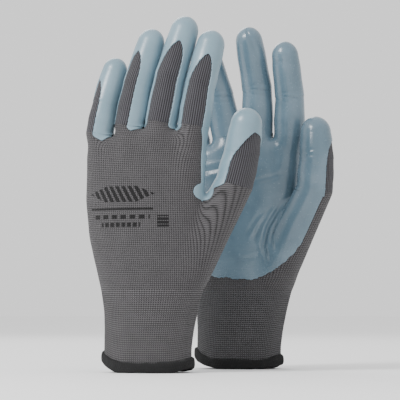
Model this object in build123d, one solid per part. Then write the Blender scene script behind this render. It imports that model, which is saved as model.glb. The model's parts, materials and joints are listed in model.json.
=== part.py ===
"""A pair of coated work gloves, standing on their cuffs as if worn.

Each glove is a knitted liner (cuff, hand and five finger tubes), a rubber coating over the palm and
fingertips, elastic yarns laid inside the cuff, and a bound hem. Every finger tube bends at its root
and in its middle, so it is made in two lengths that meet roof to roof on the bend's axis.

Units are millimetres. A glove's own frame has +Z towards the fingertips, +X towards the thumb, and its
palm towards +Y on the left glove and towards -Y on the right one.
"""

import os
from collections import namedtuple
from math import cos, radians, sin

from build123d import *

# ---------------------------------------------------------------- driving dimensions
LINER = 1.6  # thickness of the knitted wall
COAT = 0.8  # thickness of the rubber coating
SKIN_GAP = 0.04  # keeps the coating clear of the knit under it
BEND_GAP = 0.2  # half the gap between two lengths of a finger, on the bend's axis
BEND_MARGIN = 5.0  # degrees left over when a bend is at its limit
LAP = 5.0  # how far a tube runs past its joint before it is trimmed
TRIM_REACH = 2.5  # how far outside a finger its trim at the root reaches

CUFF_TOP = 58.0  # where the ribbed cuff ends and the plain hand begins
CROTCH_TOP = 163.0  # top of the hand, between the finger roots
STUB_START = 132.0  # where the finger roots start to swell out of the hand
STUB_INWARD = 0.86  # how far out they start, as a share of the finger root's place
STUB_RADIUS = 0.8  # and how wide, as a share of the finger's radius

# Ellipses up the glove: height, offset towards the thumb, half width, half depth.
CUFF_SECTIONS = (
    (-2.0, 0.0, 32.2, 21.0),
    (14.0, 0.0, 31.8, 20.5),
    (28.0, 1.0, 32.6, 20.0),
    (42.0, 2.4, 34.2, 20.0),
    (CUFF_TOP, 3.6, 36.8, 20.0),
)
HAND_SECTIONS = (
    (CUFF_TOP, 3.6, 36.8, 20.0),
    (75.0, 1.4, 39.6, 20.0),
    (95.0, -0.9, 42.5, 19.5),
    (120.0, -2.6, 43.0, 18.5),
    (145.0, -2.8, 42.4, 15.0),
    (CROTCH_TOP, -1.6, 42.6, 12.0),
)

# The cuff's lower edge is flat at the front and back, which gives two feet, and rises to each side.
FOOT_CENTRE = 4.0
FOOT_HALF = 13.0
EDGE_RADIUS = 36.0
HEM_HEIGHT = 6.5
HEM_OUT = 1.5  # how far the hem stands out from the cuff's outer face
HEM_IN = 1.2  # and from its inner face
HEM_SLOT = 2.2  # thickness of the hem under the cuff's edge

ELASTIC_ROWS = 8
ELASTIC_PITCH = 5.0
ELASTIC_START = 16.0
ELASTIC_WIDE = 0.9
ELASTIC_DEEP = 0.7
ELASTIC_GAP = 0.05

# Finger: root place (x, z), length to the middle joint, length on to the centre of the tip, three radii.
Size = namedtuple("Size", "x z base tip radii")
SIZES = {
    "index": Size(33.7, 172.0, 28.0, 32.0, (10.4, 10.2, 8.9)),
    "middle": Size(9.8, 175.0, 31.0, 37.5, (10.6, 10.5, 9.1)),
    "ring": Size(-13.9, 173.0, 28.5, 34.0, (10.3, 10.0, 8.7)),
    "little": Size(-36.6, 168.0, 21.5, 26.0, (9.25, 8.9, 7.9)),
}
BASE_CURL = 5.0  # degrees towards the palm, root to middle joint
TIP_CURL = 16.0  # and from there to the tip
WINDOW_BELOW_TIP = 10.5  # bare knit ends this far below the centre of the tip
WINDOW_WIDTH = 0.86  # half the bare strip's width, as a share of the finger's radius
BARE_DEPTH = 0.3  # the coating's side edge, as a share of the radius, behind the finger's axis

# Degrees. A finger bends towards the palm for a positive angle, a thumb for a negative one.
FINGER_ROOT_RANGE = (-10.0, 55.0)
FINGER_MIDDLE_RANGE = (-5.0, 65.0)
THUMB_ROOT_RANGE = (-30.0, 8.0)
THUMB_MIDDLE_RANGE = (-45.0, 5.0)

# The thumb's ray: where it starts beside the wrist, and its three radii after that.
THUMB_HEEL = (29.5, 4.0, 72.0)
THUMB_HEEL_RADIUS = 15.5
THUMB_RADII = (12.9, 12.4, 10.0)
THUMB_BEND = (0.4, -0.92)  # the way it opens, in X and towards the palm
THUMB_COATED = (-0.94, 0.34)  # the way its coated side faces

# Coated palm: bare below this height, and below a slope on the thumb's side.
COAT_BOTTOM = 67.0
COAT_SLOPE = ((12.0, 67.0), (58.0, 106.0))
COAT_BACK = -3.0  # the coating's edge wraps this far past the glove's middle plane

# A glove's own pose. Leans are degrees towards the thumb, root length and then tip length.
Glove = namedtuple("Glove", "name palm place yaw sway leans thumb")
LEFT = Glove(
    "left",
    1,
    (-35.2, -45.0),
    -18.0,
    0.0,
    {"index": (7.9, 9.6), "middle": (10.0, 12.0), "ring": (10.3, 12.4), "little": (9.9, 11.4)},
    ((59.7, 12.0, 131.0), (64.9, 14.0, 153.0), (68.5, 12.0, 173.5)),
)
RIGHT = Glove(
    "right",
    -1,
    (30.0, 45.0),
    -15.0,
    4.7,
    {"index": (2.0, -3.0), "middle": (0.5, -6.0), "ring": (-9.3, -14.0), "little": (-17.0, -20.0)},
    ((60.5, 13.0, 131.0), (62.7, 16.0, 153.0), (61.4, 14.5, 173.5)),
)
PAIR = (LEFT, RIGHT)

Joint = namedtuple("Joint", "centre axis along bend limits")
Digit = namedtuple("Digit", "name root middle end radii coated root_joint middle_joint")


# ---------------------------------------------------------------- where everything is
def sway(glove, z):
    """How far the glove leans towards its thumb at this height."""
    share = (z - CUFF_TOP) / (CROTCH_TOP - CUFF_TOP)
    return glove.sway * min(max(share, 0.0), 1.0)


def direction(lean, curl, palm):
    """A unit vector along a finger that leans towards the thumb and curls towards the palm."""
    a, b = radians(lean), radians(curl)
    return Vector(sin(a) * cos(b), palm * sin(b), cos(a) * cos(b))


def joint(centre, before, after, bend, limits):
    """A bend at centre. It turns the length after it towards the direction bend."""
    along = (before + after).normalized()
    axis = along.cross(bend).normalized()
    return Joint(centre, axis, along, axis.cross(along).normalized(), limits)


def finger(glove, name):
    size, (lean, tip_lean) = SIZES[name], glove.leans[name]
    mean = sum(sum(pair) for pair in glove.leans.values()) / (2 * len(glove.leans))
    base = direction(lean, BASE_CURL, glove.palm)
    tip = direction(tip_lean, TIP_CURL, glove.palm)
    root = Vector(size.x + sway(glove, size.z), 0, size.z)
    middle = root + base * size.base
    palm = Vector(0, glove.palm, 0)
    # All four fingers bend about parallel axes, so they pass each other side by side.
    common = direction(mean, 0, 1)
    root_joint = joint(root, common, common, palm, FINGER_ROOT_RANGE)
    bend_axis = root_joint.axis
    along = (base + tip - bend_axis * (base + tip).dot(bend_axis)).normalized()
    middle_joint = Joint(middle, bend_axis, along, bend_axis.cross(along).normalized(), FINGER_MIDDLE_RANGE)
    return Digit(name, root, middle, middle + tip * size.tip, size.radii, palm, root_joint, middle_joint)


def thumb(glove):
    root, middle, end = (Vector(x, glove.palm * y, z) for x, y, z in glove.thumb)
    opening = Vector(THUMB_BEND[0], glove.palm * THUMB_BEND[1], 0)
    coated = Vector(THUMB_COATED[0], glove.palm * THUMB_COATED[1], 0).normalized()
    base, tip = (middle - root).normalized(), (end - middle).normalized()
    return Digit(
        "thumb", root, middle, end, THUMB_RADII, coated,
        joint(root, base, base, opening, THUMB_ROOT_RANGE),
        joint(middle, base, tip, opening, THUMB_MIDDLE_RANGE),
    )


def digits(glove):
    return [thumb(glove)] + [finger(glove, name) for name in SIZES]


def placed(glove):
    """Carries the glove's own frame to its place in the pair."""
    return Pos(*glove.place, 0) * Rot(0, 0, glove.yaw)


# ---------------------------------------------------------------- plain shapes
def limb(start, end, start_radius, end_radius):
    """A round bar from one point to another, tapered if the radii differ."""
    span = end - start
    plane = Plane(origin=start, z_dir=span.normalized())
    align = (Align.CENTER, Align.CENTER, Align.MIN)
    if abs(start_radius - end_radius) < 1e-6:
        return plane * Cylinder(start_radius, span.length, align=align)
    return plane * Cone(start_radius, end_radius, span.length, align=align)


def half_space(point, normal, reach=160.0):
    """A block whose one face passes through point and whose body lies along normal."""
    block = Box(2 * reach, 2 * reach, reach, align=(Align.CENTER, Align.CENTER, Align.MIN))
    return Plane(origin=point, z_dir=normal) * block


def beyond(bend, side):
    """What may be filled past a bend (side 1) or before it (side -1): a roof with its ridge on the axis."""
    low, high = (radians((abs(limit) + BEND_MARGIN) / 2) for limit in bend.limits)
    ridge = bend.centre + bend.along * (side * BEND_GAP)
    palm_slope = bend.along * (side * cos(high)) - bend.bend * sin(high)
    back_slope = bend.along * (side * cos(low)) + bend.bend * sin(low)
    return half_space(ridge, palm_slope) & half_space(ridge, back_slope)


def ellipse_loft(sections, grow=0.0, sway_at=lambda z: 0.0, top=0.0):
    """A tube of elliptical section. The last section is raised by top."""
    last = len(sections) - 1
    faces = [
        Pos(x + sway_at(z), 0, z + (top if i == last else 0)) * Ellipse(half_width + grow, half_depth + grow)
        for i, (z, x, half_width, half_depth) in enumerate(sections)
    ]
    return loft(faces)


# ---------------------------------------------------------------- cuff and hem
def above_edge(lift):
    """Everything above the cuff's lower edge once that edge is raised by lift."""
    side = 60.0
    top = 120.0
    turn = 75.0
    middle_line = Line((FOOT_CENTRE - FOOT_HALF, lift), (FOOT_CENTRE + FOOT_HALF, lift))
    right_arc = CenterArc((FOOT_CENTRE + FOOT_HALF, lift + EDGE_RADIUS), EDGE_RADIUS, 270, turn)
    left_arc = CenterArc((FOOT_CENTRE - FOOT_HALF, lift + EDGE_RADIUS), EDGE_RADIUS, 270, -turn)
    rim = Polyline(right_arc @ 1, (side, top), (-side, top), left_arc @ 1)
    face = make_face(middle_line + right_arc + left_arc + rim)
    return extrude(Plane.XZ * face, amount=80, both=True)


def cuff():
    tube = ellipse_loft(CUFF_SECTIONS) - ellipse_loft(CUFF_SECTIONS, -LINER)
    return (tube & above_edge(HEM_SLOT)) - elastic(0.0)


def elastic(gap=ELASTIC_GAP):
    """Elastic yarns in grooves of the cuff's inner face, one ring for each row."""
    outer = ellipse_loft(CUFF_SECTIONS, -LINER + ELASTIC_DEEP - gap)
    layer = outer - ellipse_loft(CUFF_SECTIONS, -LINER)
    height = ELASTIC_WIDE - 2 * gap
    bands = [
        Pos(0, 0, ELASTIC_START + row * ELASTIC_PITCH + gap)
        * Box(200, 200, height, align=(Align.CENTER, Align.CENTER, Align.MIN))
        for row in range(ELASTIC_ROWS)
    ]
    return layer & (Part() + bands)


def hem():
    body = ellipse_loft(CUFF_SECTIONS, HEM_OUT) - ellipse_loft(CUFF_SECTIONS, -LINER - HEM_IN)
    slot = ellipse_loft(CUFF_SECTIONS, SKIN_GAP) - ellipse_loft(CUFF_SECTIONS, -LINER - SKIN_GAP)
    slot = slot & above_edge(HEM_SLOT - SKIN_GAP)
    return (body & above_edge(0.0)) - above_edge(HEM_HEIGHT) - slot


# ---------------------------------------------------------------- hand
def hand_form(glove, grow=0.0):
    """The hand's outline: palm, finger stubs and the thumb's ray, all grown by the same amount."""
    form = ellipse_loft(HAND_SECTIONS, grow, lambda z: sway(glove, z), top=grow)
    for digit in digits(glove):
        radius = digit.radii[0] + grow
        onward = (digit.middle - digit.root).normalized()
        if digit.name == "thumb":
            heel = Vector(THUMB_HEEL[0], glove.palm * THUMB_HEEL[1], THUMB_HEEL[2])
            heel = heel - (digit.root - heel).normalized() * grow
            form += limb(heel, digit.root, THUMB_HEEL_RADIUS + grow, radius)
        else:
            start = Vector(SIZES[digit.name].x * STUB_INWARD + sway(glove, STUB_START), 0, STUB_START)
            form += limb(start, digit.root, digit.radii[0] * STUB_RADIUS + grow, radius)
        form += Pos(*digit.root) * Sphere(radius)
        form += limb(digit.root, digit.root + onward * LAP, radius, radius)
    return form


def trimmed_hand(glove, form):
    """Cuts the hand back at every finger's root, as far as the bend there needs."""
    for digit in digits(glove):
        near = Pos(*digit.root) * Sphere(digit.radii[0] + TRIM_REACH)
        form = form - (near - beyond(digit.root_joint, -1))
    return form


def hand_liner(glove):
    return trimmed_hand(glove, hand_form(glove) - hand_form(glove, -LINER))


def palm_coating(glove):
    """The rubber over the palm, wrapped past the sides, with a lower edge that climbs to the thumb."""
    skin = hand_form(glove, SKIN_GAP + COAT) - hand_form(glove, SKIN_GAP)
    low, high = COAT_SLOPE
    top = 300
    face = make_face(Polyline((-90, low[1]), low, high, (high[0] + 60, top), (-90, top), close=True))
    skin = skin & extrude(Plane.XZ * face, amount=80, both=True)
    skin = skin & half_space(Vector(0, glove.palm * COAT_BACK, 0), Vector(0, glove.palm, 0))
    return trimmed_hand(glove, skin)


# ---------------------------------------------------------------- fingers
def base_form(digit, grow=0.0):
    """A finger from its root to just past its middle joint."""
    onward = (digit.middle - digit.root).normalized()
    root_radius, middle_radius = (radius + grow for radius in digit.radii[:2])
    form = limb(digit.root - onward * LAP, digit.root, root_radius, root_radius)
    form += limb(digit.root, digit.middle, root_radius, middle_radius)
    return form + limb(digit.middle, digit.middle + onward * LAP, middle_radius, middle_radius)


def tip_form(digit, grow=0.0):
    """A finger from just before its middle joint to its closed, rounded end."""
    onward = (digit.end - digit.middle).normalized()
    middle_radius, end_radius = (radius + grow for radius in digit.radii[1:])
    form = limb(digit.middle - onward * LAP, digit.middle, middle_radius, middle_radius)
    form += limb(digit.middle, digit.end, middle_radius, end_radius)
    return form + Pos(*digit.end) * Sphere(end_radius)


def bare_window(digit, start, end, top):
    """The strip of a finger's back that stays bare knit. Its top is round if top is given."""
    onward = (end - start).normalized()
    coated = (digit.coated - onward * digit.coated.dot(onward)).normalized()
    radius = min(digit.radii)
    half_width = radius * WINDOW_WIDTH
    behind = start - onward * 2 * LAP - coated * radius * BARE_DEPTH
    length = (end - start).length + 4 * LAP
    if top:
        length = (end - start).length + 2 * LAP - WINDOW_BELOW_TIP
    plane = Plane(origin=behind, x_dir=onward, z_dir=-coated)
    window = plane * Box(length, 2 * half_width, 40, align=(Align.MIN, Align.CENTER, Align.MIN))
    if top:
        arch = Plane(origin=behind + onward * length, x_dir=onward, z_dir=-coated)
        window += arch * Cylinder(half_width, 40, align=(Align.CENTER, Align.CENTER, Align.MIN))
    return window


def finger_pieces(digit):
    """The two lengths of one finger, each a knitted tube and the rubber over it."""
    base_room = beyond(digit.root_joint, 1) & beyond(digit.middle_joint, -1)
    tip_room = beyond(digit.middle_joint, 1)
    lengths = (
        ("base", base_form, base_room, bare_window(digit, digit.root, digit.middle, False)),
        ("tip", tip_form, tip_room, bare_window(digit, digit.middle, digit.end, True)),
    )
    pieces = {}
    for name, form, room, window in lengths:
        rubber = form(digit, SKIN_GAP + COAT) - form(digit, SKIN_GAP) - window
        pieces[f"{digit.name}_{name}_liner"] = (form(digit) - form(digit, -LINER)) & room
        pieces[f"{digit.name}_{name}_coating"] = rubber & room
    return pieces


# ---------------------------------------------------------------- the pair
def glove_pieces(glove):
    pieces = {
        "cuff": cuff(),
        "elastic": elastic(),
        "hem": hem(),
        "hand_liner": hand_liner(glove),
        "palm_coating": palm_coating(glove),
    }
    for digit in digits(glove):
        pieces.update(finger_pieces(digit))
    return {f"{glove.name}_{name}": placed(glove) * piece for name, piece in pieces.items()}


def pair_pieces():
    pieces = {}
    for glove in PAIR:
        pieces.update(glove_pieces(glove))
    return pieces


def centring(pieces):
    """The move that puts the origin under the middle of the pair, on the plane it stands on."""
    boxes = [piece.bounding_box() for piece in pieces.values()]
    low_x, high_x = min(box.min.X for box in boxes), max(box.max.X for box in boxes)
    low_y, high_y = min(box.min.Y for box in boxes), max(box.max.Y for box in boxes)
    return Vector(-(low_x + high_x) / 2, -(low_y + high_y) / 2, -min(box.min.Z for box in boxes))


if __name__ == "__main__":
    os.makedirs("parts", exist_ok=True)
    made = pair_pieces()
    move = Pos(*centring(made))
    for node, piece in made.items():
        export_step(move * piece, f"parts/{node}.step")
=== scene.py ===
"""The looks of a pair of coated knitted work gloves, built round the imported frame.

Each glove is shaped in its own frame, in millimetres: +X towards the thumb, +Y towards the palm and +Z
towards the fingertips, with the origin under the middle of the cuff. Its bends come from the frame's joints.
"""

import json
import math

import bpy
import numpy as np
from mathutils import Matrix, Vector, noise


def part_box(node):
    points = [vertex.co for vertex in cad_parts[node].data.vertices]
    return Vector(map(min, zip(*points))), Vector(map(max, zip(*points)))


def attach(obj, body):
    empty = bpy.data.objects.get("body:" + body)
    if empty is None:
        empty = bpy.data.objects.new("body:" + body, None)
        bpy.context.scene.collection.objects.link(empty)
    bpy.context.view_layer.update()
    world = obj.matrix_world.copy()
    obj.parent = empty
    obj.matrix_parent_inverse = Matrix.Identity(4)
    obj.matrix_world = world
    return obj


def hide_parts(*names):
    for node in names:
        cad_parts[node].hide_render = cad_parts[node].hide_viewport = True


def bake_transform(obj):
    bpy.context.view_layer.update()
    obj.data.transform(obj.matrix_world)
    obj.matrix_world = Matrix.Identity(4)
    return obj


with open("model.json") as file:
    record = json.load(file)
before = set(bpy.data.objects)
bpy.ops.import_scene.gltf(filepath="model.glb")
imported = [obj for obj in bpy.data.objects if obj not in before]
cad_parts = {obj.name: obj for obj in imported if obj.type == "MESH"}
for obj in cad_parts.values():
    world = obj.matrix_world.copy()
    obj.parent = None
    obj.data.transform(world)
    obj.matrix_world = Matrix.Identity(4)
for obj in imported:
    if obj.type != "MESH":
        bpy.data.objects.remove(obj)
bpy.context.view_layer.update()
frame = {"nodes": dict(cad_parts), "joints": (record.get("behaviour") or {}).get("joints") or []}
JOINTS = {j["name"]: j for j in frame["joints"]}
MM = 0.001

# ---------------------------------------------------------------- sizes, in millimetres
CUFF_TOP = 58.0
RUBBER = 0.75  # how far the rubber stands out from the knit
KNIT_WALL = 1.5
WALE = 1.55  # width of one column of stitches
COURSE = 1.5  # height of one row of stitches

# Height, offset towards the thumb, half width, half depth of the cuff and hand.
SECTIONS = np.array([
    (-6, 0.0, 32.4, 21.0), (0, 0.0, 32.2, 21.0), (14, 0.0, 31.4, 20.4), (28, 1.0, 32.0, 20.0),
    (42, 2.2, 33.8, 20.0), (58, 3.0, 37.0, 20.0), (75, 1.2, 39.8, 20.0), (95, -0.9, 42.5, 19.5),
    (120, -2.6, 43.0, 18.3), (145, -2.8, 42.4, 14.8), (163, -1.6, 42.4, 12.0), (185, -1.6, 42.2, 11.5),
])
# Height of the hand's top edge across the hand, low at the sides and between the fingers.
TOP_EDGE = np.array([
    (-60, 146), (-46, 154), (-25.3, 164.0), (-2.0, 169.0), (21.8, 167.5), (42, 152), (60, 140),
])
TOP_ROUND = 7.0

DIGITS = ("thumb", "index", "middle", "ring", "little")
RADII = {
    "thumb": (12.9, 12.4, 10.0), "index": (10.4, 10.2, 8.9), "middle": (10.6, 10.5, 9.1),
    "ring": (10.3, 10.0, 8.7), "little": (9.25, 8.9, 7.9),
}
# The bare strip of knit along each digit: the angles of its two edges and its point, measured from the
# back of the hand towards the thumb, and how far below the fingertip it ends.
BARE = {
    "thumb": (-14, 136, 52, 15.0), "index": (-38, 54, 19, 19.5), "middle": (-48, 48, 12, 20.5),
    "ring": (-82, 12, -24, 19.5), "little": (-98, -6, -52, 18.0),
}
WEB_BORDER = 6.0  # how far the rubber reaches round the thumb's crotch
ARCH = 26.0  # length over which a strip of knit narrows to its point
ROOT_CUT = -1.0  # where a digit's mesh starts, along it from the root joint
ROOT_ZONE = 13.0  # and where it has turned fully with that joint
MIDDLE_ZONE = 7.0  # half the length over which it bends at the middle joint
THUMB_HEEL = np.array((29.5, 4.0, 72.0))
THUMB_HEEL_RADIUS = 15.5
STUB_START = 132.0  # where the finger roots start to swell out of the hand
STUB_INWARD = 0.86  # how far out they start, as a share of the finger root's place
STUB_RADIUS = 0.8  # and how wide, as a share of the finger's radius
PALM_BLEND, THUMB_BLEND = 6.5, 6.0  # how softly the fingers and the thumb run into the palm
ROOT_FLARE = 0.3  # how much a finger swells where it meets its neighbour


# ---------------------------------------------------------------- small helpers
def unit(v):
    return v / np.linalg.norm(v)


def smoothstep(x, low=0.0, high=1.0):
    t = np.clip((x - low) / (high - low), 0, 1)
    return t * t * (3 - 2 * t)


def soft_min(a, b, k):
    h = np.clip(0.5 + 0.5 * (b - a) / k, 0, 1)
    return b * (1 - h) + a * h - k * h * (1 - h)


def soft_max(a, b, k):
    return -soft_min(-a, -b, k)


def rough(points, scale, seed):
    """Smooth noise from -1 to 1 at each point. scale is the size of its lumps."""
    shift = Vector((seed * 17.3, seed * 5.1, seed * 9.7))
    return np.array([noise.noise(Vector(p) / scale + shift) for p in points])


def groove(points, line, width, depth):
    """A crease along a polyline: negative near it, with a slight lip at each side, fading at its ends."""
    line = np.array(line, float)
    best = np.full(len(points), 1e9)
    along = np.zeros(len(points))
    lengths = np.linalg.norm(np.diff(line, axis=0), axis=1)
    total, start = lengths.sum(), 0.0
    for a, b, length in zip(line[:-1], line[1:], lengths):
        t = np.clip((points - a) @ (b - a) / length**2, 0, 1)
        d = np.linalg.norm(points - a - t[:, None] * (b - a), axis=1)
        nearer = d < best
        best = np.where(nearer, d, best)
        along = np.where(nearer, (start + t * length) / total, along)
        start += length
    fade = np.sin(np.clip(along, 0.02, 0.98) * math.pi) ** 0.6
    x = best / width
    return -depth * fade * (np.exp(-(x**2)) - 0.45 * np.exp(-((x - 1.7) ** 2)))


# ---------------------------------------------------------------- meshes
class Surface:
    """Points with per-point values, and polygons."""

    def __init__(self, points, quads, stitch, normals=None, polygons=None):
        self.points, self.quads, self.stitch = points, np.asarray(quads, int).reshape(-1, 4), stitch
        self.polygons = polygons or []
        self.normals = self.make_normals() if normals is None else normals

    def make_normals(self):
        p, q = self.points, self.quads
        face = np.cross(p[q[:, 2]] - p[q[:, 0]], p[q[:, 3]] - p[q[:, 1]])
        total = np.zeros_like(p)
        for k in range(4):
            np.add.at(total, q[:, k], face)
        return total / np.maximum(np.linalg.norm(total, axis=1), 1e-9)[:, None]

    def moved(self, distance):
        return Surface(self.points + self.normals * np.asarray(distance).reshape(-1, 1), self.quads,
                       self.stitch, self.normals, self.polygons)


def join(*surfaces):
    points, quads, stitch, normals, polygons, base = [], [], [], [], [], 0
    for s in surfaces:
        points.append(s.points)
        stitch.append(s.stitch)
        normals.append(s.normals)
        quads.append(s.quads + base)
        polygons += [tuple(i + base for i in f) for f in s.polygons]
        base += len(s.points)
    return Surface(np.concatenate(points), np.concatenate(quads), np.concatenate(stitch),
                   np.concatenate(normals), polygons)


def clip(surface, value, wall=0.0):
    """Keeps what has a positive value, cut along value 0. wall adds a rim that deep along the cut."""
    keep = value > 0
    inside = keep[surface.quads].sum(axis=1)
    quads = surface.quads[inside == 4]
    polygons, cuts, made = [], [], {}
    new_points, new_stitch, new_normals = [], [], []
    count = len(surface.points)

    def crossing(a, b):
        key = (a, b) if a < b else (b, a)
        if key not in made:
            t = value[key[0]] / (value[key[0]] - value[key[1]])
            made[key] = count + len(new_points)
            for source, target in ((surface.points, new_points), (surface.stitch, new_stitch),
                                   (surface.normals, new_normals)):
                target.append(source[key[0]] * (1 - t) + source[key[1]] * t)
        return made[key]

    old = [f for f in surface.polygons if all(keep[i] for i in f)]
    mixed = [tuple(f) for f in surface.quads[(inside > 0) & (inside < 4)].tolist()]
    mixed += [f for f in surface.polygons if any(keep[i] for i in f) and not all(keep[i] for i in f)]
    for f in mixed:
        polygon, leave, enter = [], None, None
        for i, a in enumerate(f):
            b = f[(i + 1) % len(f)]
            if keep[a]:
                polygon.append(a)
            if keep[a] != keep[b]:
                c = crossing(a, b)
                polygon.append(c)
                if keep[a]:
                    leave = c
                else:
                    enter = c
        if len(polygon) > 2:
            polygons.append(tuple(polygon))
            cuts.append((leave, enter))
    if new_points:
        points = np.concatenate([surface.points, np.array(new_points)])
        stitch = np.concatenate([surface.stitch, np.array(new_stitch)])
        normals = np.concatenate([surface.normals, np.array(new_normals)])
    else:
        points, stitch, normals = surface.points, surface.stitch, surface.normals
    polygons += old
    if wall and cuts:
        rim = sorted({i for cut in cuts for i in cut})
        low = {v: len(points) + k for k, v in enumerate(rim)}
        points = np.concatenate([points, points[rim] - normals[rim] * wall])
        stitch = np.concatenate([stitch, stitch[rim]])
        normals = np.concatenate([normals, normals[rim]])
        polygons += [(b, a, low[a], low[b]) for a, b in cuts]
    return packed(points, quads, stitch, normals, polygons)


def packed(points, quads, stitch, normals, polygons):
    """The same surface without the points that nothing uses."""
    used = np.zeros(len(points), bool)
    used[quads.ravel()] = True
    for f in polygons:
        used[list(f)] = True
    index = np.cumsum(used) - 1
    return Surface(points[used], index[quads] if len(quads) else quads, stitch[used], normals[used],
                   [tuple(int(index[i]) for i in f) for f in polygons])


def grid_quads(rows, columns, closed):
    """Quads between the rows of a grid of points. closed joins its last column to its first."""
    r, c = np.meshgrid(np.arange(rows - 1), np.arange(columns if closed else columns - 1), indexing="ij")
    n = (c + 1) % columns
    return np.stack([r * columns + c, r * columns + n, (r + 1) * columns + n, (r + 1) * columns + c],
                    axis=-1).reshape(-1, 4)


# ---------------------------------------------------------------- one glove
class Glove:
    def __init__(self, name, palm):
        self.name, self.palm = name, palm
        low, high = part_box(f"{name}_hem")
        self.origin = np.array(((low.x + high.x) / 2, (low.y + high.y) / 2, 0.0)) / MM
        inner = np.array(JOINTS[f"{name}_little_root_bend"]["pos_m"]) / MM
        outer = np.array(JOINTS[f"{name}_index_root_bend"]["pos_m"]) / MM
        across = (outer - inner) * (1, 1, 0)
        self.x = unit(across)
        self.y = palm * np.array((-self.x[1], self.x[0], 0.0))
        self.origin = self.origin + self.y * ((inner - self.origin) @ self.y)
        self.axes = np.array((self.x, self.y, (0.0, 0.0, 1.0)))
        self.digits = {d: self.skeleton(d) for d in DIGITS}
        roots = {d: self.digits[d]["root"] for d in DIGITS if d != "thumb"}
        self.sway = float(np.mean([roots["index"][0] - 33.7, roots["little"][0] + 36.6]))

    def local(self, world):
        return (np.asarray(world) - self.origin) @ self.axes.T

    def world(self, local):
        return np.asarray(local) @ self.axes + self.origin

    def skeleton(self, digit):
        root, middle = (self.local(np.array(JOINTS[f"{self.name}_{digit}_{k}_bend"]["pos_m"]) / MM)
                        for k in ("root", "middle"))
        node = frame["nodes"][f"{self.name}_{digit}_tip_liner"]
        co = np.zeros(len(node.data.vertices) * 3)
        node.data.vertices.foreach_get("co", co)
        co = self.local(co.reshape(-1, 3) / MM)
        far = co[np.argmax(np.linalg.norm(co - middle, axis=1))]
        end = far - unit(far - middle) * RADII[digit][2]
        return {"root": root, "middle": middle, "end": end}

    def sections(self, z):
        x, hw, hd = (np.interp(z, TABLE[:, 0], TABLE[:, k]) for k in (1, 2, 3))
        return x + self.sway * np.clip((z - CUFF_TOP) / 105.0, 0, 1), hw, hd

    def field(self, p):
        """Signed distance, roughly, to the cuff and hand with the digits' roots."""
        z = p[:, 2]
        cx, hw, hd = self.sections(z)
        x, y = p[:, 0] - cx, p[:, 1]
        q = np.sqrt((x / hw) ** 2 + (y / hd) ** 2)
        g = np.sqrt((x / hw**2) ** 2 + (y / hd**2) ** 2)
        palm = np.where(q < 0.25, (q - 1) * hd, q * (q - 1) / np.maximum(g, 1e-6))
        palm = soft_max(palm, z - np.interp(p[:, 0] - self.sway, TOP_EDGE[:, 0], TOP_EDGE[:, 1]), TOP_ROUND)
        total = palm
        for name, d in self.digits.items():
            r = RADII[name][0]
            onward = unit(d["middle"] - d["root"])
            stub = limb(p, d["root"], d["root"] + onward * 6, r, r)
            if name == "thumb":
                ray = limb(p, THUMB_HEEL, d["root"], THUMB_HEEL_RADIUS, r)
                total = np.minimum(total, soft_min(palm, np.minimum(ray, stub), THUMB_BLEND))
            else:
                start = np.array((d["root"][0] * STUB_INWARD, 0, STUB_START))
                swell = np.minimum(limb(p, start, d["root"], r * STUB_RADIUS, r), stub)
                total = np.minimum(total, soft_min(palm, swell, PALM_BLEND))
        return total

    def project(self, p, steps=2, level=0.0):
        for _ in range(steps):
            f = self.field(p) - level
            g = self.gradient(p)
            p = p - g * (f / np.maximum((g * g).sum(axis=1), 0.05))[:, None]
        return p

    def gradient(self, p, h=0.05):
        f = self.field(p)
        return np.stack([(self.field(p + np.eye(3)[k] * h) - f) / h for k in range(3)], axis=1)


def limb(p, a, b, ra, rb):
    t = np.clip((p - a) @ (b - a) / ((b - a) @ (b - a)), 0, 1)
    return np.linalg.norm(p - a - t[:, None] * (b - a), axis=1) - (ra + (rb - ra) * t)


heights = np.arange(-6.0, 186.0, 1.0)
TABLE = np.stack([heights] + [np.interp(heights, SECTIONS[:, 0], SECTIONS[:, k]) for k in (1, 2, 3)], axis=1)
kernel = np.hanning(17) / np.hanning(17).sum()
for k in (1, 2, 3):
    edge = np.pad(TABLE[:, k], 8, mode="edge")
    TABLE[:, k] = np.convolve(edge, kernel, mode="valid")

ARC = np.linspace(0, math.pi, 181)
ARC_LENGTH = np.concatenate([[0], np.cumsum(np.hypot(43 * np.diff(np.cos(ARC)), 17 * np.diff(np.sin(ARC))))])


def hand_stitch(glove, p):
    """Stitch columns counted round the hand from the thumb's side, and rows counted up it."""
    cx, hw, hd = glove.sections(p[:, 2])
    angle = np.arctan2(np.abs(p[:, 1]) / hd, (p[:, 0] - cx) / hw)
    return np.stack([np.interp(angle, ARC, ARC_LENGTH) / WALE, p[:, 2] / (COURSE * 0.86), 0 * angle], axis=1)


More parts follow.
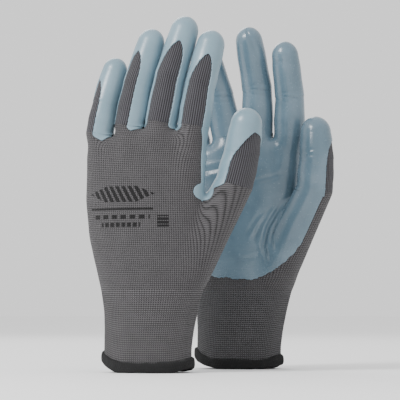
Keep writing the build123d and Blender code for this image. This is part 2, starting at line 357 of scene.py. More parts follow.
# ---------------------------------------------------------------- the hand
def surface_nets(glove, low, high, step):
    axes = [np.arange(low[k], high[k] + step, step) for k in range(3)]
    shape = tuple(len(a) for a in axes)
    corner = np.stack(np.meshgrid(*axes, indexing="ij"), axis=-1).reshape(-1, 3)
    f = np.concatenate([glove.field(part) for part in np.array_split(corner, 12)]).reshape(shape)
    inside = f < 0
    cells = tuple(n - 1 for n in shape)
    total, count = np.zeros(cells + (3,)), np.zeros(cells)
    index = np.stack(np.meshgrid(*[np.arange(n) for n in cells], indexing="ij"), axis=-1).astype(float)
    for axis in range(3):
        others = [k for k in range(3) if k != axis]
        for da in (0, 1):
            for db in (0, 1):
                start = [0, 0, 0]
                start[others[0]], start[others[1]] = da, db
                a = tuple(slice(s, s + n) for s, n in zip(start, cells))
                end = list(start)
                end[axis] += 1
                b = tuple(slice(s, s + n) for s, n in zip(end, cells))
                cross = inside[a] != inside[b]
                t = np.where(cross, f[a] / np.where(cross, f[a] - f[b], 1), 0)
                offset = np.zeros(cells + (3,))
                offset[..., axis] = t
                offset[..., others[0]], offset[..., others[1]] = da, db
                total += (index + offset) * cross[..., None]
                count += cross
    active = count > 0
    number = np.full(cells, -1)
    number[active] = np.arange(active.sum())
    points = total[active] / count[active][:, None] * step + np.array([a[0] for a in axes])
    quads = []
    for axis in range(3):
        u, v = [(1, 2), (2, 0), (0, 1)][axis]
        take = [slice(None)] * 3
        take[axis], take[u], take[v] = slice(0, -1), slice(1, -1), slice(1, -1)
        following = list(take)
        following[axis] = slice(1, None)
        a, b = inside[tuple(take)], inside[tuple(following)]
        spots = np.argwhere(a != b)
        flip = a[a != b]
        spots[:, u] += 1
        spots[:, v] += 1
        du, dv = np.eye(3, dtype=int)[u], np.eye(3, dtype=int)[v]
        ring = [spots - du - dv, spots - dv, spots, spots - du]
        ids = np.stack([number[tuple(r.T)] for r in ring], axis=1)
        quads.append(np.where(flip[:, None], ids, ids[:, ::-1]))
    return points, np.concatenate(quads)


def relaxed(glove, points, quads, rounds=4):
    edges = np.concatenate([quads[:, [k, (k + 1) % 4]] for k in range(4)])
    for _ in range(rounds):
        total, count = np.zeros_like(points), np.zeros(len(points))
        np.add.at(total, edges[:, 0], points[edges[:, 1]])
        np.add.at(count, edges[:, 0], 1)
        mean = total / np.maximum(count, 1)[:, None]
        points = glove.project(points * 0.45 + mean * 0.55, steps=1)
    return glove.project(points)


def hand_surface(glove):
    low = np.array((-50 + min(glove.sway, 0), -24, CUFF_TOP - 4))
    high = np.array((82, 30, 186))
    points, quads = surface_nets(glove, low, high, 0.9)
    points = relaxed(glove, points, quads)
    surface = Surface(points, quads, hand_stitch(glove, points))
    for name, d in glove.digits.items():
        onward = unit(d["middle"] - d["root"])
        offset = surface.points - d["root"]
        along = offset @ onward
        near = np.linalg.norm(offset - along[:, None] * onward, axis=1) < RADII[name][0] + 3.5
        value = np.where(near & (along > -12), ROOT_CUT - along, 10.0)
        surface = clip(surface, value)
    return clip(surface, surface.points[:, 2] - CUFF_TOP)


def palm_marks(p):
    """Creases of the palm and the thumb's base, as a height along the surface's normal."""
    facing = smoothstep(p[:, 1], 2, 7)
    q = p * (1, 0, 1)
    total = groove(q, [(34, 0, 118), (26, 0, 104), (23, 0, 90), (27, 0, 78)], 1.7, 1.5)
    total += groove(q, [(39, 0, 116), (32, 0, 105), (29, 0, 96), (31, 0, 88)], 1.3, 1.1)
    total += groove(q, [(29, 0, 119), (20, 0, 106), (16, 0, 94)], 1.5, 0.8)
    total += groove(q, [(12, 0, 96), (20, 0, 108), (29, 0, 117)], 1.6, -0.9)
    total += groove(q, [(-40, 0, 140), (-20, 0, 146), (2, 0, 150), (22, 0, 152)], 2.2, 0.5)
    total += groove(q, [(38, 0, 143), (18, 0, 138), (0, 0, 128), (-12, 0, 118)], 2.2, 0.7)
    total += groove(q, [(-10, 0, 84), (8, 0, 80), (26, 0, 84)], 1.6, 0.4)
    return total * facing


def hand_relief(glove, p):
    return palm_marks(p) + 0.35 * rough(p, 26.0, 3) + 0.12 * rough(p, 9.0, 5)


def hand_rubber_value(glove, p, stitch):
    """How far inside the rubber's edge a point of the hand is, in millimetres."""
    x, y, z = p[:, 0] - glove.sway * np.clip((p[:, 2] - CUFF_TOP) / 105, 0, 1), p[:, 1], p[:, 2]
    side = np.interp(x, (-46, -30, 30, 46), (2.5, -2.0, -2.0, -3.0))
    value = y - side
    crotch = thumb_crotch(glove)
    for name in glove.digits:
        theta, along, radius = around(glove, name, p)
        low, high = (math.radians(a) for a in BARE[name][:2])
        if name == "thumb":
            # Below the crotch the whole back stays bare, and above it only the thumb's own strip does.
            cx, hw, _ = glove.sections(z)
            near = smoothstep(p[:, 0] - cx - hw, 0.0, 4.0) * smoothstep(z, 74, 90)
            low = low - math.radians(110) * (1 - smoothstep(z, crotch[1] - 4, crotch[1] + 6))
        else:
            near = smoothstep(along, -9.0, -2.0) * smoothstep(RADII[name][0] + 2.5 - radius, 0, 1.5)
        outside = np.maximum(low - theta, theta - high) * radius
        value = value * (1 - near) + outside * near
    border = WEB_BORDER - np.hypot(p[:, 0] - crotch[0], z - crotch[1])
    value = soft_max(value, border, 1.5)
    row = np.floor(stitch[:, 1])
    column = np.floor(stitch[:, 0])
    jag = 0.7 * np.sin(column * 12.9898 + np.floor(stitch[:, 0] * 0.5) * 4.1) + 0.35 * np.sin(row * 7.7)
    lower = z - np.interp(x, (-46, -20, 12, 26, 42, 58, 66), (70, 68.5, 65, 69, 82, 101, 116)) - jag
    return np.minimum(value, lower)


def thumb_crotch(glove):
    """Where the thumb parts from the hand: distance towards the thumb, and height."""
    thumb = glove.digits["thumb"]["root"]
    for z in np.arange(105.0, 155.0, 0.5):
        cx, hw, _ = glove.sections(np.array([z]))
        share = (z - THUMB_HEEL[2]) / (thumb[2] - THUMB_HEEL[2])
        inner = THUMB_HEEL[0] + (thumb[0] - THUMB_HEEL[0]) * share - RADII["thumb"][0]
        x = (cx[0] + hw[0] + inner) / 2
        if glove.field(np.array([(x, thumb[1] / 2, z)]))[0] > 0:
            break
    return x, z


def around(glove, name, p):
    """Angle round a digit from the back towards the thumb, distance along it from its root, and radius."""
    d = glove.digits[name]
    onward = unit(d["middle"] - d["root"])
    if name == "thumb":
        ray = unit(d["root"] - THUMB_HEEL)
        below = (p - d["root"]) @ ray < 0
        onward = np.where(below[:, None], ray, onward)
    else:
        onward = np.broadcast_to(onward, p.shape)
    offset = p - d["root"]
    along = (offset * onward).sum(axis=1)
    offset = offset - along[:, None] * onward
    back = np.array((0.0, -1.0, 0.0))
    back = back - (onward @ back)[:, None] * onward
    back /= np.linalg.norm(back, axis=1)[:, None]
    side = np.cross(back, onward)
    side *= np.sign(side[:, 0])[:, None]
    radius = np.linalg.norm(offset, axis=1)
    return np.arctan2((offset * side).sum(axis=1), (offset * back).sum(axis=1)), along, radius


# ---------------------------------------------------------------- digits
class Digit:
    def __init__(self, glove, name):
        d = glove.digits[name]
        self.glove, self.name, self.radii = glove, name, RADII[name]
        first = unit(d["middle"] - d["root"])
        self.base = np.linalg.norm(d["middle"] - d["root"])
        self.tip = np.linalg.norm(d["end"] - d["middle"])
        reach = self.radii[2]
        line = np.arange(-16, self.base + self.tip + 16, 0.5)
        second = unit(d["end"] - d["middle"])
        raw = np.where((line < self.base)[:, None], d["root"] + first * line[:, None],
                       d["middle"] + second * (line - self.base)[:, None])
        kernel = np.hanning(29) / np.hanning(29).sum()
        padded = np.concatenate([raw[:1] + first * 0.5 * np.arange(-14, 0)[:, None], raw,
                                 raw[-1:] + second * 0.5 * np.arange(1, 15)[:, None]])
        self.line = line
        self.path = np.stack([np.convolve(padded[:, k], kernel, mode="valid") for k in range(3)], axis=1)
        self.length = self.base + self.tip + reach
        self.onward = first

    def centre(self, s):
        return np.stack([np.interp(s, self.line, self.path[:, k]) for k in range(3)], axis=1)

    def radius(self, s):
        root, middle, end = self.radii
        r = np.interp(s, (0, self.base, self.base + self.tip, self.length), (root, middle, end, end))
        bulge = 0.25 * np.cos((s - self.base * 0.5) / self.base * 2 * math.pi) * (s < self.base)
        pad = 0.35 * np.exp(-(((s - self.base - self.tip * 0.72) / 8.0) ** 2))
        flare = 0.0 if self.name == "thumb" else ROOT_FLARE * smoothstep(s, 18, 8)
        return r + flare + (bulge + pad) * smoothstep(s, 2, 8)

    def dome(self):
        return self.radii[2] * 1.18

    def mesh(self, start, stop, columns, grow=0.0, step=0.85):
        """The digit from start to stop along it. It is closed with a dome where stop is its end."""
        closed_end = stop is None
        dome = self.dome()
        last = self.length - dome if closed_end else stop
        count = max(int(math.ceil((last - start) / step)), 2)
        stations = [(s, 1.0) for s in np.linspace(start, last, count + 1)]
        if closed_end:
            turns = np.linspace(0, math.pi / 2, 17)[1:]
            stations += [(last + (dome + grow) * math.sin(t), math.cos(t)) for t in turns]
        s = np.array([a for a, _ in stations])
        scale = np.array([b for _, b in stations])
        theta = np.linspace(-math.pi, math.pi, columns + 1)
        side = theta[None, :] + 0 * s[:, None]
        centre = self.centre(s)
        ahead = self.centre(s + 0.5) - self.centre(s - 0.5)
        ahead /= np.linalg.norm(ahead, axis=1)[:, None]
        back = np.array((0.0, -1.0, 0.0)) - ahead * (-ahead[:, 1])[:, None]
        back /= np.linalg.norm(back, axis=1)[:, None]
        across = np.cross(back, ahead)
        across *= np.sign(across[:, 0])[:, None]
        r = self.radius(np.minimum(s, self.length - dome)) + grow + self.lumps(s)
        r = np.maximum(r, 0.5) * np.maximum(scale, 0.003)
        rim = (np.cos(side)[..., None] * back[:, None] * 0.97 + np.sin(side)[..., None] * across[:, None])
        points = centre[:, None] + rim * r[:, None, None]
        relief = self.relief(side, s[:, None] + 0 * side) * np.maximum(scale, 0)[:, None]
        points = points + rim * relief[..., None]
        rows = len(s)
        wales = round(2 * math.pi * self.radii[0] / WALE)
        rows_up = (s[:, None] + 0 * side) / COURSE
        stitch = np.stack([side / (2 * math.pi) * wales, rows_up, 1 + 0 * side], axis=-1)
        flat = points.reshape(-1, 3)
        early = (s < 8.0)[:, None] & (side < 9)
        if start <= ROOT_CUT + 0.01:
            chosen = early.ravel()
            hugged = self.glove.project(flat[chosen], 2, grow)
            weight = 1 - smoothstep((s[:, None] + 0 * side).ravel()[chosen], 0.5, 8.0)
            flat[chosen] = flat[chosen] * (1 - weight[:, None]) + hugged * weight[:, None]
        quads = grid_quads(rows, columns + 1, False)
        surface = Surface(flat, quads, stitch.reshape(-1, 3))
        outward = (surface.normals * (flat - np.repeat(centre, columns + 1, axis=0))).sum()
        if outward < 0:
            surface = Surface(flat, quads[:, ::-1], stitch.reshape(-1, 3))
        first, end = np.arange(rows) * (columns + 1), np.arange(rows) * (columns + 1) + columns
        seam = surface.normals[first] + surface.normals[end]
        seam /= np.linalg.norm(seam, axis=1)[:, None]
        surface.normals[first] = surface.normals[end] = seam
        return surface, side.ravel(), (s[:, None] + 0 * side).ravel()

    def lumps(self, s):
        return 0.12 * np.array([noise.noise(Vector((v / 9.0, len(self.name) * 3.3, 1.7))) for v in s])

    def relief(self, side, s):
        """Folds on the palm side of the middle joint, and a slack dent near some fingertips."""
        palm = np.clip(-np.cos(side), 0, 1)
        total = np.zeros_like(s)
        for k, (shift, depth) in enumerate(((-3.2, 0.22), (0.4, 0.4), (4.0, 0.25))):
            fold = self.base + shift + 1.5 * np.sin(side * 2 + k)
            total -= depth * palm * np.exp(-(((s - fold) / 1.1) ** 2))
        if self.glove.name == "right" and self.name == "middle":
            at = self.length - 13 - s
            across = (side - 2.62 + 0.03 * at) * 9 / 1.6
            total -= palm * np.exp(-(across**2)) * smoothstep(-at, -12, 2)
        if self.glove.name == "right" and self.name == "index":
            total -= 0.5 * palm * np.exp(-(((s - self.length + 12.5) / 1.8) ** 2)) * (np.sin(side) < 0)
        return total

    def bare_value(self, side, s):
        """How far outside the bare strip of knit a point is, in millimetres."""
        low, high, peak = (math.radians(a) for a in BARE[self.name][:3])
        top = self.length - BARE[self.name][3]
        t = 1 - np.clip((top - s) / ARCH, 0, 1)
        left_edge = peak - (peak - low) * (1 - t**1.8) ** 0.8
        right_edge = peak + (high - peak) * (1 - t**3.2) ** 0.7
        r = self.radii[1]
        ragged = 0.25 * np.sin(s * 2.1 + self.radii[2]) * np.sin(s * 0.77)
        outside = np.maximum(left_edge - side, side - right_edge) * r
        return np.where(s < top, outside, np.hypot((side - peak) * r, s - top)) + ragged * (s < top)


# ---------------------------------------------------------------- cuff, hem and elastic
def edge_height(x):
    """The cuff's lower edge: flat in the middle, rising on an arc to each side."""
    away = np.clip(np.abs(x - 4.0) - 13.0, 0, 30)
    return 36.0 - np.sqrt(36.0**2 - away**2)


def ring(glove, angle, z, grow=0.0):
    """Points at angles round the cuff, measured from the thumb's side, on its outer face."""
    cx, hw, hd = glove.sections(z)
    direction = np.stack([np.cos(angle) * (hw + grow), np.sin(angle) * (hd + grow), 0 * angle], axis=-1)
    return np.stack([cx, 0 * z, z], axis=-1) + direction


def cuff_surface(glove):
    wales, courses = 128, 38
    angle = np.linspace(0, 2 * math.pi, wales * 4, endpoint=False)
    v = np.linspace(0, 1, courses * 5 + 1)
    layers = []
    for grow, sign in ((0.0, 1), (-KNIT_WALL, -1)):
        a, h = np.meshgrid(angle, v)
        x = ring(glove, a.ravel(), np.full(a.size, 8.0))[:, 0]
        low = edge_height(x).reshape(a.shape) + 2.0
        z = low + (CUFF_TOP - low) * h
        p = ring(glove, a.ravel(), z.ravel(), grow)
        if sign > 0:
            top = smoothstep(p[:, 2], CUFF_TOP - 14, CUFF_TOP)
            p = p * (1 - top[:, None]) + glove.project(p) * top[:, None]
            p[:, 2] = z.ravel()
        stitch = np.stack([a.ravel() / (2 * math.pi) * wales, h.ravel() * courses, 0 * a.ravel()], axis=1)
        quads = grid_quads(len(v), len(angle), True)
        surface = Surface(p, quads if sign > 0 else quads[:, ::-1], stitch)
        fade = 1 - 0.8 * smoothstep(h.ravel(), 0.9, 1.0)
        ridge = np.abs(np.sin(math.pi * stitch[:, 1])) ** 0.8
        gap = np.abs(np.sin(math.pi * stitch[:, 0])) ** 0.7
        wave = 0.3 * rough(p, 14.0, 8) * np.sin(math.pi * np.clip(h.ravel(), 0, 1))
        layers.append(surface.moved((0.26 * (ridge - 0.7) + 0.12 * (gap - 0.7)) * fade + wave * sign))
    return join(*layers)


def hem_surface(glove):
    """A thick overlocked edge: slanted wraps of black thread round a soft roll."""
    wraps, per = 104, 8
    angle = np.linspace(0, 2 * math.pi, wraps * per, endpoint=False)
    turn = np.linspace(0, 2 * math.pi, 28, endpoint=False)
    t, a = np.meshgrid(turn, angle, indexing="ij")
    x = ring(glove, angle, np.full(angle.shape, 8.0))[:, 0]
    drift = 0.35 * np.sin(angle * 3 + 1) + 0.25 * np.sin(angle * 7) + 0.2 * np.sin(angle * 13 + 2)
    centre = ring(glove, angle, edge_height(x) + 3.7, -KNIT_WALL / 2 + 0.2)
    outward = centre - ring(glove, angle, edge_height(x) + 3.7, -8)
    outward /= np.linalg.norm(outward, axis=1)[:, None]
    up = np.array((0.0, 0.0, 1.0))
    phase = a / (2 * math.pi) * wraps + 0.9 * np.sin(t)
    thread = 0.34 * np.abs(np.sin(math.pi * phase)) ** 0.6 + 0.1 * np.sin(2 * math.pi * (phase * 3 + t))
    swell = 1 + 0.05 * np.sin(a * 11) + 0.04 * np.sin(a * 29 + 1)
    wide, tall = 2.15 * swell, 3.45 + 0.4 * np.sin(a * 5) + 0.15 * np.sin(a * 17) + 0 * t
    squared = (np.abs(np.cos(t)) ** 4 + np.abs(np.sin(t)) ** 4) ** -0.18
    points = (centre[None] + outward[None] * ((wide + thread) * squared * np.cos(t))[..., None]
              + up * ((tall + thread) * squared * np.sin(t) + 0.3 * drift[None])[..., None])
    points[..., 2] = np.maximum(points[..., 2], 0.02 + 0.25 * (1 - np.abs(np.sin(math.pi * phase))))
    stitch = np.stack([phase, t / (2 * math.pi), 0 * t], axis=-1)
    quads = grid_quads(len(turn), len(angle), True)
    wrap = grid_quads(2, len(angle), True).copy()
    first = wrap < len(angle)
    wrap = np.where(first, wrap + (len(turn) - 1) * len(angle), wrap - len(angle))
    surface = Surface(points.reshape(-1, 3), np.concatenate([quads, wrap]), stitch.reshape(-1, 3))
    middle = np.tile(centre, (len(turn), 1))
    if (surface.normals * (surface.points - middle)).sum() < 0:
        surface = Surface(surface.points, surface.quads[:, ::-1], surface.stitch)
    return surface


def elastic_surface(glove):
    rings = []
    angle = np.linspace(0, 2 * math.pi, 180, endpoint=False)
    turn = np.linspace(0, 2 * math.pi, 8, endpoint=False)
    t, a = np.meshgrid(turn, angle, indexing="ij")
    for row in range(8):
        z = 16.45 + 5.0 * row
        twist = 0.08 * np.sin(a * 60 + t)
        height = z + (0.45 + twist) * np.sin(t)
        p = ring(glove, a.ravel(), np.full(a.size, z), -KNIT_WALL - 0.1)
        out = unit_rows(ring(glove, a.ravel(), np.full(a.size, z)) - p)
        p = p + out * (0.4 + twist.ravel())[:, None] * np.cos(t).ravel()[:, None]
        p[:, 2] = height.ravel()
        quads = grid_quads(len(turn), len(angle), True)
        wrap = grid_quads(2, len(angle), True)
        wrap = np.where(wrap < len(angle), wrap + (len(turn) - 1) * len(angle), wrap - len(angle))
        stitch = np.stack([a.ravel() * 20, t.ravel(), 0 * t.ravel()], axis=1)
        rings.append(Surface(p, np.concatenate([quads, wrap]), stitch))
    return join(*rings)


def unit_rows(v):
    return v / np.maximum(np.linalg.norm(v, axis=1), 1e-9)[:, None]


# ---------------------------------------------------------------- objects
def build(name, glove, surface, material, node, body=None, bend=None):
    """Makes the object, in the row frame and metres, and ties it to its body, or with bend only bakes its
    placement into its mesh.
    """
    world = glove.world(surface.points) * MM
    faces = [tuple(f) for f in surface.quads.tolist()] + list(surface.polygons)
    if glove.palm < 0:
        faces = [f[::-1] for f in faces]
    mesh = bpy.data.meshes.new(name)
    mesh.from_pydata(world.tolist(), [], faces)
    mesh.validate()
    for label, values in (("stitch", surface.stitch), ("place", surface.points)):
        attribute = mesh.attributes.new(label, "FLOAT_VECTOR", "POINT")
        attribute.data.foreach_set("vector", np.asarray(values, np.float32).ravel())
    mesh.polygons.foreach_set("use_smooth", np.ones(len(mesh.polygons), bool))
    mesh.materials.append(material)
    mesh.update()
    obj = bpy.data.objects.new(name, mesh)
    bpy.context.scene.collection.objects.link(obj)
    if bend:
        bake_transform(obj)
    else:
        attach(obj, body)
    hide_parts(node)
    return obj


# ---------------------------------------------------------------- materials
class Shader:
    """A short way to write node trees."""

    def __init__(self, name):
        self.material = bpy.data.materials.new(name)
        self.material.use_nodes = True
        self.tree = self.material.node_tree
        self.bsdf = self.tree.nodes["Principled BSDF"]

    def put(self, socket, value):
        if isinstance(value, bpy.types.NodeSocket):
            self.tree.links.new(value, socket)
        else:
            socket.default_value = value

    def math(self, operation, a, b=0.0, c=None):
        node = self.tree.nodes.new("ShaderNodeMath")
        node.operation = operation
        for socket, value in zip(node.inputs, (a, b, c if c is not None else 0.0)):
            self.put(socket, value)
        return node.outputs[0]

    def fit(self, value, low, high, out_low=0.0, out_high=1.0):
        node = self.tree.nodes.new("ShaderNodeMapRange")
        node.interpolation_type = "SMOOTHSTEP"
        limits = {"Value": value, "From Min": low, "From Max": high, "To Min": out_low, "To Max": out_high}
        for name, v in limits.items():
            self.put(node.inputs[name], v)
        return node.outputs[0]

    def attribute(self, name):
        node = self.tree.nodes.new("ShaderNodeAttribute")
        node.attribute_name = name
        split = self.tree.nodes.new("ShaderNodeSeparateXYZ")
        self.tree.links.new(node.outputs["Vector"], split.inputs[0])
        return node.outputs["Vector"], split.outputs[0], split.outputs[1], split.outputs[2]

    def noise(self, vector, scale, detail=3.0, stretch=(1, 1, 1)):
        move = self.tree.nodes.new("ShaderNodeMapping")
        self.tree.links.new(vector, move.inputs["Vector"])
        move.inputs["Scale"].default_value = stretch
        node = self.tree.nodes.new("ShaderNodeTexNoise")
        self.tree.links.new(move.outputs[0], node.inputs["Vector"])
        node.inputs["Scale"].default_value = scale
        node.inputs["Detail"].default_value = detail
        return node.outputs["Fac"]

    def mix(self, factor, a, b):
        node = self.tree.nodes.new("ShaderNodeMix")
        node.data_type = "RGBA"
        self.put(node.inputs["Factor"], factor)
        colour = [i for i in node.inputs if i.type == "RGBA"]
        self.put(colour[0], a)
        self.put(colour[1], b)
        return [o for o in node.outputs if o.type == "RGBA"][0]

    def bump(self, height, distance, strength=1.0, normal=None):
        node = self.tree.nodes.new("ShaderNodeBump")
        node.inputs["Distance"].default_value = distance
        node.inputs["Strength"].default_value = strength
        self.put(node.inputs["Height"], height)
        if normal is not None:
            self.put(node.inputs["Normal"], normal)
        return node.outputs["Normal"]

    def stitches(self, u, v, lean=0.35):
        """Two values of a knit at each point: how near it is to a column's middle, and to a loop's middle."""
        column = self.math("ABSOLUTE", self.math("SINE", self.math("MULTIPLY", u, math.pi)))
        across = self.math("ABSOLUTE", self.math("SUBTRACT", self.math("FRACT", u), 0.5))
        loop = self.math("ADD", v, self.math("MULTIPLY", across, 2 * lean))
        loop = self.math("ABSOLUTE", self.math("SINE", self.math("MULTIPLY", loop, math.pi)))
        return column, loop


def rgb(r, g, b):
    """A colour from its usual 0 to 255 numbers."""
    return tuple(((c / 255 + 0.055) / 1.055) ** 2.4 if c > 10 else c / 3294.6 for c in (r, g, b)) + (1.0,)


def knit_material(name, gap_shade, light, column_weight, printed=False, cool=None):
    s = Shader(name)
    _, u, v, kind = s.attribute("stitch")
    place, x, y, z = s.attribute("place")
    column, loop = s.stitches(u, v)
    weight = s.math("ADD", column_weight, s.math("MULTIPLY", kind, 0.2))
    column_part = s.math("MULTIPLY", s.math("POWER", column, 0.8), weight)
    loop_part = s.math("MULTIPLY", s.math("POWER", loop, 0.7), s.math("SUBTRACT", 1.0, weight))
    height = s.math("ADD", column_part, loop_part)
    uneven = s.noise(place, 0.11, 2.0)
    fibre = s.noise(place, 1.9, 4.0, (1, 1, 0.35))
    shade = s.math("ADD", s.fit(height, 0.28, 0.95), s.math("MULTIPLY", s.math("SUBTRACT", fibre, 0.5), 0.55))
    shade = s.math("ADD", shade, s.math("MULTIPLY", s.math("SUBTRACT", uneven, 0.5), 0.3))
    # The colour follows the stitches' height, so the gaps between stitches are darker as painted shade; the
    # fibre and uneven noise are the yarn's own tone.
    colour = s.mix(s.fit(shade, -0.05, 1.1), gap_shade, light)
    if printed:
        ink = s.math("MULTIPLY", back_print(s, x, y, z), s.fit(loop, 0.05, 0.55, 0.72, 0.97))
        colour = s.mix(ink, colour, rgb(10, 9, 11))
    s.put(s.bsdf.inputs["Base Color"], colour)
    s.put(s.bsdf.inputs["Roughness"], 0.86)
    s.put(s.bsdf.inputs["Sheen Weight"], 0.1)
    s.put(s.bsdf.inputs["Sheen Roughness"], 0.45)
    s.put(s.bsdf.inputs["Specular IOR Level"], 0.3)
    fuzz = s.bump(fibre, 0.00025, 0.5)
    s.put(s.bsdf.inputs["Normal"], s.bump(height, 0.0008, 1.0, fuzz))
    return s.material


def back_print(s, x, y, z):
    """A plain ink mark on the back of the hand: a striped lozenge, a rule and two rows of dashes."""

    def band(value, middle, half):
        return s.math("LESS_THAN", s.math("ABSOLUTE", s.math("SUBTRACT", value, middle)), half)

    def both(*values):
        total = values[0]
        for v in values[1:]:
            total = s.math("MULTIPLY", total, v)
        return total

    def either(*values):
        total = values[0]
        for v in values[1:]:
            total = s.math("MAXIMUM", total, v)
        return total

    centre = -14.0
    away = s.math("ABSOLUTE", s.math("SUBTRACT", x, centre))
    rise = s.math("ABSOLUTE", s.math("SUBTRACT", z, 124.0))
    pill = s.math("LESS_THAN", s.math("ADD", s.math("MULTIPLY", away, 0.42), rise), 10.5)
    pill = both(pill, s.math("LESS_THAN", rise, 5.5))
    slant = s.math("FRACT", s.math("MULTIPLY", s.math("ADD", x, s.math("MULTIPLY", z, 0.6)), 0.21))
    stripes = both(pill, s.math("GREATER_THAN", slant, 0.38))
    rule = both(band(z, 113.5, 0.75), s.math("LESS_THAN", away, 24.0))
    dashes = both(band(z, 108.0, 1.5), s.math("LESS_THAN", away, 22.0),
                  s.math("LESS_THAN", s.math("FRACT", s.math("MULTIPLY", x, 0.145)), 0.62))
    second = both(band(z, 102.5, 1.5), s.math("LESS_THAN", away, 15.0),
                  s.math("LESS_THAN", s.math("FRACT", s.math("MULTIPLY", x, 0.23)), 0.7))
    block = both(band(x, centre + 31.0, 4.0), band(z, 105.0, 4.0),
                 s.math("GREATER_THAN", s.math("FRACT", s.math("MULTIPLY", z, 0.4)), 0.3))
    return both(either(stripes, rule, dashes, second, block), s.math("LESS_THAN", y, 0.0))


def rubber_material(name, base, deep, roughness):
    s = Shader(name)
    _, u, v, kind = s.attribute("stitch")
    place, _, _, z = s.attribute("place")
    cloud = s.noise(place, 0.045, 3.0)
    speck = s.noise(place, 0.6, 5.0)
    fine = s.noise(place, 3.2, 3.0)
    shade = s.math("ADD", s.math("MULTIPLY", cloud, 0.92), s.math("MULTIPLY", speck, 0.08))
    s.put(s.bsdf.inputs["Base Color"], s.mix(s.fit(shade, 0.32, 0.68), deep, base))
    column, loop = s.stitches(u, v)
    heel = s.math("MULTIPLY", s.fit(z, 112.0, 72.0), s.math("LESS_THAN", kind, 0.5))
    through = s.math("ADD", s.math("MULTIPLY", heel, 0.8), 0.1)
    knit = s.math("ADD", s.math("MULTIPLY", column, 0.35), s.math("MULTIPLY", loop, 0.65))
    knit = s.math("MULTIPLY", knit, through)
    mottle = s.math("MULTIPLY", s.math("SUBTRACT", speck, 0.5), 0.22)
    s.put(s.bsdf.inputs["Roughness"], s.math("ADD", roughness, mottle))
    s.put(s.bsdf.inputs["Specular IOR Level"], 0.55)
    s.put(s.bsdf.inputs["Coat Weight"], 0.25)
    s.put(s.bsdf.inputs["Coat Roughness"], 0.22)
    s.put(s.bsdf.inputs["Subsurface Weight"], 0.04)
    s.put(s.bsdf.inputs["Subsurface Radius"], (0.002, 0.002, 0.002))
    peel = s.math("ADD", s.math("MULTIPLY", speck, 0.8), s.math("MULTIPLY", fine, 0.12))
    peel = s.bump(peel, 0.0004, 0.2)
    s.put(s.bsdf.inputs["Normal"], s.bump(knit, 0.0005, 0.55, peel))
    return s.material


def thread_material(name, base, lift):
    s = Shader(name)
    _, u, v, _ = s.attribute("stitch")
    place = s.attribute("place")[0]
    turn = s.math("ADD", s.math("MULTIPLY", u, 3.0), s.math("MULTIPLY", v, 26.0))
    twist = s.math("ABSOLUTE", s.math("SINE", s.math("MULTIPLY", turn, math.pi)))
    fibre = s.noise(place, 2.4, 5.0, (1, 1, 1))
    shade = s.math("ADD", s.math("MULTIPLY", twist, 0.35), s.math("MULTIPLY", fibre, 0.5))
    s.put(s.bsdf.inputs["Base Color"], s.mix(s.fit(shade, 0.25, 0.8), base, lift))
    s.put(s.bsdf.inputs["Roughness"], 0.8)
    s.put(s.bsdf.inputs["Sheen Weight"], 0.03)
    s.put(s.bsdf.inputs["Normal"], s.bump(shade, 0.0005, 0.8))
    return s.material


# The darker colour of each knit is painted shade in the gaps between its stitches; the lighter one is the
# yarn's own colour.
KNIT_GAP_SHADE, KNIT_LIGHT = rgb(20, 20, 21), rgb(88, 86, 88)
MATERIALS = {
    "hand": knit_material("knit_back", KNIT_GAP_SHADE, KNIT_LIGHT, 0.42, printed=True),
    "finger": knit_material("knit_finger", rgb(16, 16, 18), rgb(76, 75, 80), 0.62),
    "left_cuff": knit_material("knit_cuff_left", rgb(18, 18, 19), rgb(94, 92, 94), 0.36),
    "right_cuff": knit_material("knit_cuff_right", rgb(19, 19, 20), rgb(90, 89, 91), 0.36),
    # Both gloves wear the same rubber; the right glove's colours are the left's painted darker, as painted
    # shade on the rear glove.
    "left_rubber": rubber_material("rubber_left", rgb(122, 147, 160), rgb(111, 137, 150), 0.36),
    "right_rubber": rubber_material("rubber_right_painted_shade", rgb(100, 122, 136), rgb(86, 109, 123), 0.24),
    "hem": thread_material("hem_thread", rgb(3, 3, 4), rgb(13, 13, 15)),
    "elastic": thread_material("elastic_yarn", rgb(30, 30, 32), rgb(80, 79, 82)),
}


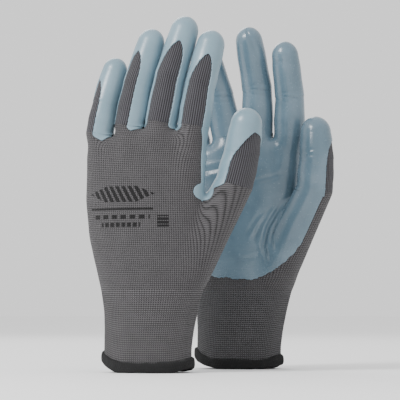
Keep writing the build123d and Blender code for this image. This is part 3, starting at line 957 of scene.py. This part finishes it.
# ---------------------------------------------------------------- both gloves
def make_glove(name, palm):
    glove = Glove(name, palm)
    hand_body = f"{name}_hand"
    cuff = cuff_surface(glove)
    elastic = elastic_surface(glove)
    skin = MATERIALS[f"{name}_rubber"]
    build(f"{name}_cuff_knit", glove, cuff, MATERIALS[f"{name}_cuff"], f"{name}_cuff", hand_body)
    build(f"{name}_cuff_hem", glove, hem_surface(glove), MATERIALS["hem"], f"{name}_hem", hand_body)
    build(f"{name}_cuff_elastic", glove, elastic, MATERIALS["elastic"], f"{name}_elastic",
          hand_body)
    hand = hand_surface(glove)
    above_cuff = smoothstep(hand.points[:, 2], CUFF_TOP, CUFF_TOP + 10)
    rubber = hand.moved(hand_relief(glove, hand.points) * above_cuff)
    value = hand_rubber_value(glove, hand.points, hand.stitch)
    build(f"{name}_hand_knit", glove, rubber, MATERIALS["hand"], f"{name}_hand_liner", hand_body)
    coat = clip(rubber.moved(RUBBER), value, RUBBER + 0.25)
    build(f"{name}_palm_rubber", glove, coat, skin, f"{name}_palm_coating", hand_body)
    for digit_name in DIGITS:
        digit = Digit(glove, digit_name)
        stem = f"{name}_{digit_name}"
        bend_from, bend_to = digit.base - MIDDLE_ZONE, digit.base + MIDDLE_ZONE
        zones = {
            "base": (ROOT_CUT, bend_from, hand_body, f"{stem}_base", ROOT_CUT, ROOT_ZONE),
            "tip": (bend_from, None, f"{stem}_base", f"{stem}_tip", bend_from, bend_to),
        }
        for length, (start, stop, parent, child, low, high) in zones.items():
            ends = digit.centre(np.array([low, high], float))
            bend = (parent, child, tuple(glove.world(ends[0]) * MM), tuple(glove.world(ends[1]) * MM))
            knit, _, _ = digit.mesh(start, stop, 60)
            node = f"{stem}_{length}"
            build(f"{node}_knit", glove, knit, MATERIALS["finger"], f"{node}_liner", bend=bend)
            outer, side, s = digit.mesh(start, stop, 84, RUBBER, 0.7)
            outer = clip(outer, digit.bare_value(side, s), RUBBER + 0.25)
            build(f"{node}_rubber", glove, outer, skin, f"{node}_coating", bend=bend)
    return glove


GLOVES = [make_glove("left", 1), make_glove("right", -1)]


# ---------------------------------------------------------------- floor, light and camera
def area_light(name, place, target, size, power, colour=(1, 1, 1)):
    data = bpy.data.lights.new(name, "AREA")
    data.shape = "DISK"
    data.size, data.energy, data.color = size, power, colour
    obj = bpy.data.objects.new(name, data)
    bpy.context.scene.collection.objects.link(obj)
    obj.location = place
    obj.rotation_euler = (Vector(target) - Vector(place)).to_track_quat("-Z", "Y").to_euler()
    return obj


def floor():
    mesh = bpy.data.meshes.new("floor")
    size = 6.0
    corners = [(-size, -size, 0), (size, -size, 0), (size, size, 0), (-size, size, 0)]
    mesh.from_pydata(corners, [], [(0, 1, 2, 3)])
    obj = bpy.data.objects.new("floor", mesh)
    bpy.context.scene.collection.objects.link(obj)
    s = Shader("floor_pale")
    s.put(s.bsdf.inputs["Base Color"], (0.95, 0.95, 0.95, 1))
    s.put(s.bsdf.inputs["Roughness"], 0.9)
    mesh.materials.append(s.material)


floor()
world = bpy.data.worlds.new("studio")
world.use_nodes = True
world.node_tree.nodes["Background"].inputs["Color"].default_value = (1, 1, 1, 1)
world.node_tree.nodes["Background"].inputs["Strength"].default_value = 1.15
bpy.context.scene.world = world
AIM = (0.0, 0.0, 0.13)
area_light("key", (-1.05, -0.9, 1.15), AIM, 0.6, 26.0)
area_light("fill", (0.9, -1.3, 0.35), AIM, 1.2, 1.0)
area_light("rim", (-0.3, 1.2, 1.0), AIM, 0.8, 5.0)

DISTANCE = 1.52  # from the camera to the left glove's plane
ELEVATION = -2.7
WIDTH = 0.280  # what the picture's width covers at that plane
left, right = GLOVES
front = left.origin[1] * MM
data = bpy.data.cameras.new("camera")
data.sensor_width = 36.0
data.lens = 36.0 * DISTANCE / WIDTH
camera = bpy.data.objects.new("camera", data)
bpy.context.scene.collection.objects.link(camera)
tilt = math.radians(ELEVATION)
aim = Vector((left.origin[0] * MM + 0.0365, front, 0.1204))
camera.location = aim - Vector((0, math.cos(tilt), -math.sin(tilt))) * DISTANCE
camera.rotation_euler = (math.radians(90) - tilt, 0, 0)
bpy.context.scene.camera = camera
